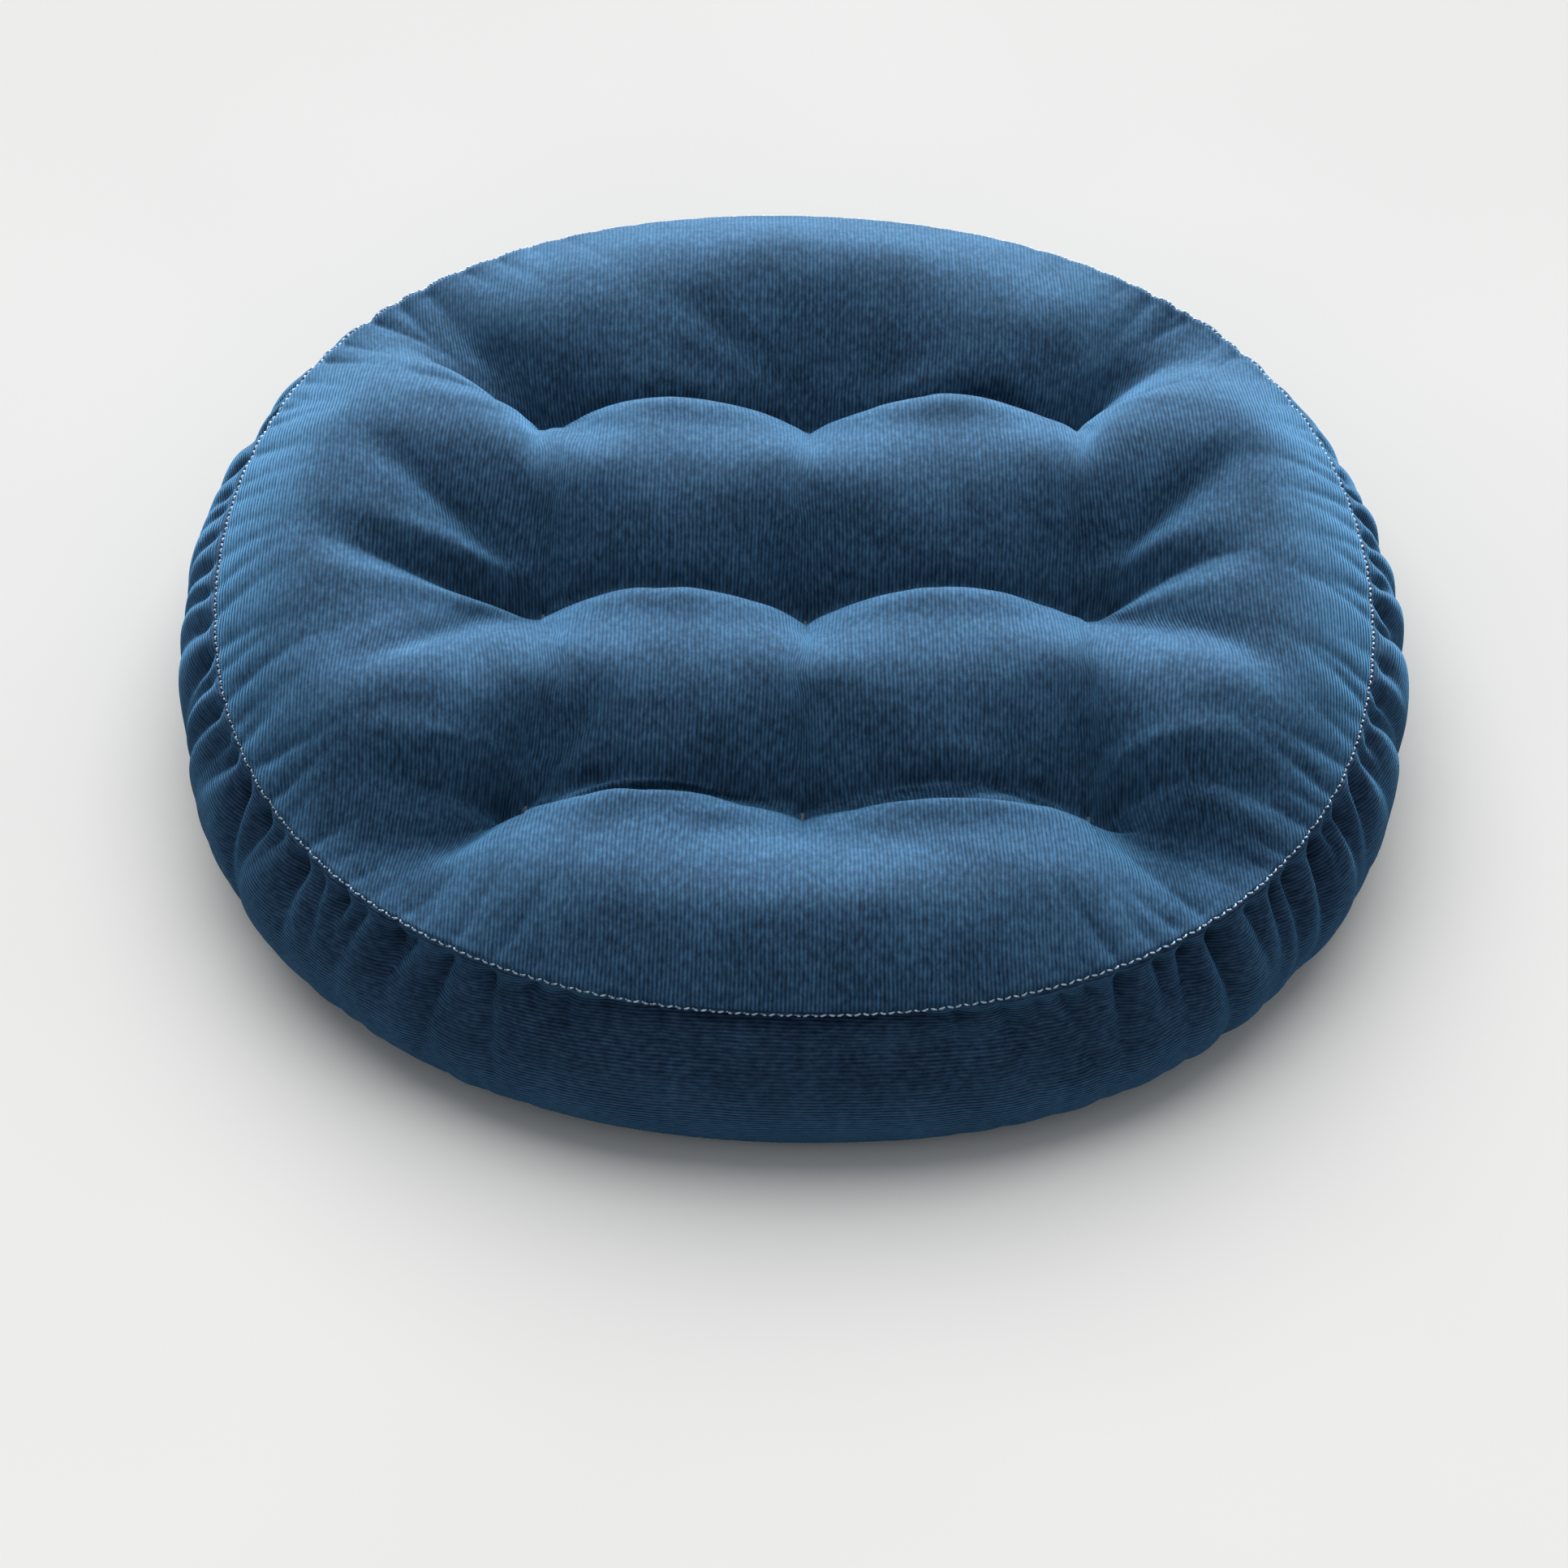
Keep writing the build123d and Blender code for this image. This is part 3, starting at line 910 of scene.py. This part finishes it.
class Shader:
    """A material whose nodes are added one after another, each returning its output socket."""

    def __init__(self, name):
        self.material = bpy.data.materials.new(name)
        self.material.use_nodes = True
        self.nodes = self.material.node_tree.nodes
        self.links = self.material.node_tree.links
        self.surface = self.nodes["Principled BSDF"]

    def put(self, socket, value):
        """Sets a socket to a plain value, or links it to another node's output."""
        if isinstance(value, bpy.types.NodeSocket):
            self.links.new(value, socket)
        else:
            socket.default_value = value

    def add(self, kind, output, inputs=(), **settings):
        """Adds a node with these inputs, by name or number, and returns one of its outputs."""
        node = self.nodes.new(f"ShaderNode{kind}")
        for key, value in settings.items():
            setattr(node, key, value)
        for key, value in dict(inputs).items():
            self.put(node.inputs[key], value)
        return node.outputs[output]

    def math(self, operation, first, second=0.0):
        """One sum on one or two values."""
        return self.add("Math", 0, {0: first, 1: second}, operation=operation)

    def noise(self, vector, scale, detail=2.0, roughness=0.5):
        """Smooth noise from 0 to 1 at this many grains a metre."""
        inputs = {"Vector": vector, "Scale": scale, "Detail": detail, "Roughness": roughness}
        return self.add("TexNoise", "Fac", inputs)

    def stretch(self, vector, scale):
        """The vector scaled by its own factor along each axis."""
        return self.add("Mapping", 0, {"Vector": vector, "Scale": scale})

    def ramp(self, value, stops):
        """A colour for a value from 0 to 1, between stops of (value, colour)."""
        node = self.nodes.new("ShaderNodeValToRGB")
        elements = node.color_ramp.elements
        for element, (place, colour) in zip(elements, (stops[0], stops[-1])):
            element.position = place
            element.color = (*colour, 1)
        for place, colour in stops[1:-1]:
            elements.new(place).color = (*colour, 1)
        self.put(node.inputs[0], value)
        return node.outputs[0]

    def finish(self, colour, height, distance, plain):
        """Connects the colour and the bump, and sets the shader's plain values by their names."""
        self.put(self.surface.inputs["Base Color"], colour)
        inputs = {"Strength": 1.0, "Distance": distance, "Height": height}
        self.put(self.surface.inputs["Normal"], self.add("Bump", "Normal", inputs))
        for key, value in plain.items():
            self.surface.inputs[key].default_value = value
        return self.material


def corduroy_material(name, colours):
    """Fine-wale corduroy: raised cords of pile along the flat cloth's second axis."""
    shader = Shader(name)
    flat = shader.add("UVMap", "UV", uv_map="cloth")
    across = shader.add("SeparateXYZ", "X", {"Vector": flat})
    drift = shader.math("MULTIPLY", shader.noise(flat, DRIFT_GRAINS, 1.0), WALE_DRIFT)
    turns = shader.math("MULTIPLY", shader.math("ADD", across, drift), 2 * pi / WALE)
    half_wave = shader.math("MULTIPLY", shader.math("COSINE", turns), 0.5)
    cords = shader.math("POWER", shader.math("ADD", half_wave, 0.5), CORD_ROUNDNESS)

    pile = shader.noise(shader.stretch(flat, (1, 0.4, 1)), PILE_GRAINS, 2.0)
    tufts = shader.noise(shader.stretch(flat, (1, 0.5, 1)), TUFT_GRAINS, 3.0, 0.6)
    patches = shader.noise(flat, PATCH_GRAINS, 4.0, 0.6)
    # Painted shade: the colour is darker in the grooves between the cords
    tone = shader.math("MULTIPLY", cords, CORD_GROOVE_SHADE)
    for uneven, share in ((patches, PATCH_TONE), (tufts, TUFT_TONE)):
        change = shader.math("MULTIPLY", shader.math("SUBTRACT", uneven, 0.5), share)
        tone = shader.math("ADD", tone, change)
    colour = shader.ramp(shader.math("ADD", tone, PLAIN_TONE), colours)
    height = shader.math("ADD", cords, shader.math("MULTIPLY", pile, PILE_SHARE))
    return shader.finish(colour, height, PILE_HEIGHT, PILE_SURFACE)


def thread_material(name, colours):
    """Twisted spun thread: fine uneven plies and a little fuzz."""
    shader = Shader(name)
    place = shader.add("TexCoord", "Object")
    plies = shader.noise(shader.stretch(place, PLY_SQUEEZE), PLY_GRAINS, 2.0)
    colour = shader.ramp(plies, colours)
    return shader.finish(colour, plies, PLY_HEIGHT, {"Roughness": 0.75, "Sheen Weight": 0.2})


def fibre_material():
    """Loose white polyester fibre."""
    shader = Shader("fibre")
    place = shader.add("TexCoord", "Object")
    strands = shader.noise(shader.stretch(place, FIBRE_SQUEEZE), FIBRE_GRAINS, 5.0, 0.7)
    colour = shader.ramp(strands, FIBRE_COLOURS)
    return shader.finish(colour, strands, FIBRE_HEIGHT, {"Roughness": 1.0, "Sheen Weight": 0.3})


def floor_material():
    """A plain pale matt floor."""
    shader = Shader("floor")
    place = shader.add("TexCoord", "Object")
    cloud = shader.noise(place, FLOOR_GRAINS, 2.0)
    colour = shader.ramp(cloud, FLOOR_COLOURS)
    return shader.finish(colour, cloud, FLOOR_HEIGHT, {"Roughness": 0.9})


# ---- Floor, light and camera ----


def make_floor():
    """A wide level floor under the cushion."""
    floor = level_square("floor", FLOOR_REACH)
    floor.data.materials.append(floor_material())
    return floor


def make_light(name, towards, spread, power, colour):
    """An even light from one direction, as wide as spread degrees across, so it is soft."""
    data = bpy.data.lights.new(name, "SUN")
    data.angle = radians(spread)
    data.energy = power
    data.color = colour
    light = bpy.data.objects.new(name, data)
    light.rotation_euler = (-Vector(towards)).to_track_quat("-Z", "Y").to_euler()
    bpy.context.collection.objects.link(light)
    return light


def keep_off(light, piece):
    """Keeps a light off one object, as a studio's flag does."""
    flagged = bpy.data.collections.new(f"{light.name}_flag")
    flagged.objects.link(piece)
    flagged.collection_objects[0].light_linking.link_state = "EXCLUDE"
    light.light_linking.receiver_collection = flagged


def make_world(strength):
    """An even surround, white with a little blue."""
    world = bpy.data.worlds.new("studio")
    world.use_nodes = True
    background = world.node_tree.nodes["Background"]
    background.inputs["Color"].default_value = SURROUND_COLOUR
    background.inputs["Strength"].default_value = strength
    bpy.context.scene.world = world


def make_camera():
    """The photograph's view: the tufts sit above the middle of the picture."""
    rise = radians(ELEVATION)
    swing = radians(SWING)
    back = Vector((sin(swing) * cos(rise), -cos(swing) * cos(rise), sin(rise)))
    right = Vector((cos(swing), sin(swing), 0))
    up = back.cross(right)
    middle = Vector((*TUFT_CENTRE, TUFT_LEVEL))
    aim = middle - up * AIM_BELOW - right * AIM_LEFT
    data = bpy.data.cameras.new("camera")
    data.lens = LENS
    data.sensor_width = SENSOR
    data.clip_end = FARTHEST
    camera = bpy.data.objects.new("camera", data)
    camera.location = middle + back * DISTANCE
    facing = (aim - camera.location).to_track_quat("-Z", "Y")
    camera.rotation_euler = (facing @ Quaternion((0, 0, 1), radians(ROLL_OF_VIEW))).to_euler()
    bpy.context.collection.objects.link(camera)
    bpy.context.scene.camera = camera


# ---- The cushion ----

PLACES = tuft_places()
TUFT_CENTRE = np.mean([place[:2] for place in PLACES.values()], axis=0)
TOP_PUCKERS = make_puckers(TOP_PUCKER_SEED, TOP_PUCKER_DEPTH)
BOTTOM_PUCKERS = make_puckers(BOTTOM_PUCKER_SEED, BOTTOM_PUCKER_DEPTH)
CORDUROY = corduroy_material("corduroy", PILE_COLOURS)
# The band's corduroy is a darker copy of the top's: painted shade, not a different cloth
shaded_band_colours = [(at, tuple(np.multiply(BAND_PAINTED_SHADE, tone).tolist())) for at, tone in PILE_COLOURS]
SHADED_BAND_CORDUROY = corduroy_material("corduroy_band_painted_shade", shaded_band_colours)
SEAM_THREAD_MATERIAL = thread_material("seam_thread", SEAM_THREAD_COLOURS)
TIE_THREAD_MATERIAL = thread_material("tie_thread", TIE_THREAD_COLOURS)
FIBRE = fibre_material()

cut, cut_faces, band_rows, pinned, panel_quads, panel_count = cut_cover()
filled = fill_cover(cut, cut_faces, pinned)
filled = ease_rim(ease_round(filled, band_rows))
filled[:panel_count] = ease_folds(filled[:panel_count], panel_quads)
make_panel(
    "top_panel",
    points=filled[:panel_count],
    quads=panel_quads,
    flat=cut[:panel_count, :2],
    half_widths=TOP_CUT,
    seam_tilt=TOP_SEAM_TILT,
    puckers=TOP_PUCKERS,
    levels=FINE_LEVELS,
)
make_panel(
    "bottom_panel",
    points=filled[panel_count : 2 * panel_count],
    quads=panel_quads[:, ::-1],
    flat=cut[panel_count : 2 * panel_count, :2],
    half_widths=np.array((BOTTOM_CUT, BOTTOM_CUT)),
    seam_tilt=BOTTOM_SEAM_TILT,
    puckers=BOTTOM_PUCKERS,
    levels=UNDERSIDE_LEVELS,
)
make_band(filled, band_rows)
make_filling(filled, cut_faces)

closed_from = pi / 2 + CLOSED_OPENING / 2
closed_to = 5 * pi / 2 - CLOSED_OPENING / 2
top_groove = seam_groove(TOP_SEAM, TOP_RING, TOP_SEAM_TILT, TOP_PUCKERS, 0, 2 * pi)
bottom_seam = (BOTTOM_SEAM, BOTTOM_RING, BOTTOM_SEAM_TILT, BOTTOM_PUCKERS)
bottom_groove = seam_groove(*bottom_seam, closed_from, closed_to)
closing_groove = seam_groove(*bottom_seam, closed_to - 2 * pi, closed_from)
band_join = join_groove(filled, band_rows)
sew("top_seam_stitching", top_groove, MACHINE_STITCH, SEAM_THREAD_MATERIAL)
sew("bottom_seam_stitching", bottom_groove, MACHINE_STITCH, SEAM_THREAD_MATERIAL)
sew("closing_stitches", closing_groove, HAND_STITCH, TIE_THREAD_MATERIAL)
sew("band_join_stitching", band_join, MACHINE_STITCH, SEAM_THREAD_MATERIAL)
for place in PLACES:
    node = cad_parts[f"tuft_tie_{place}"]
    node.data.materials.clear()
    node.data.materials.append(TIE_THREAD_MATERIAL)

floor = make_floor()
make_world(SURROUND)
make_light("window", *WINDOW_LIGHT)
keep_off(make_light("back", *BACK_LIGHT), floor)
keep_off(make_light("fill", *FILL_LIGHT), floor)
make_camera()
bpy.context.scene.view_settings.view_transform = "Standard"
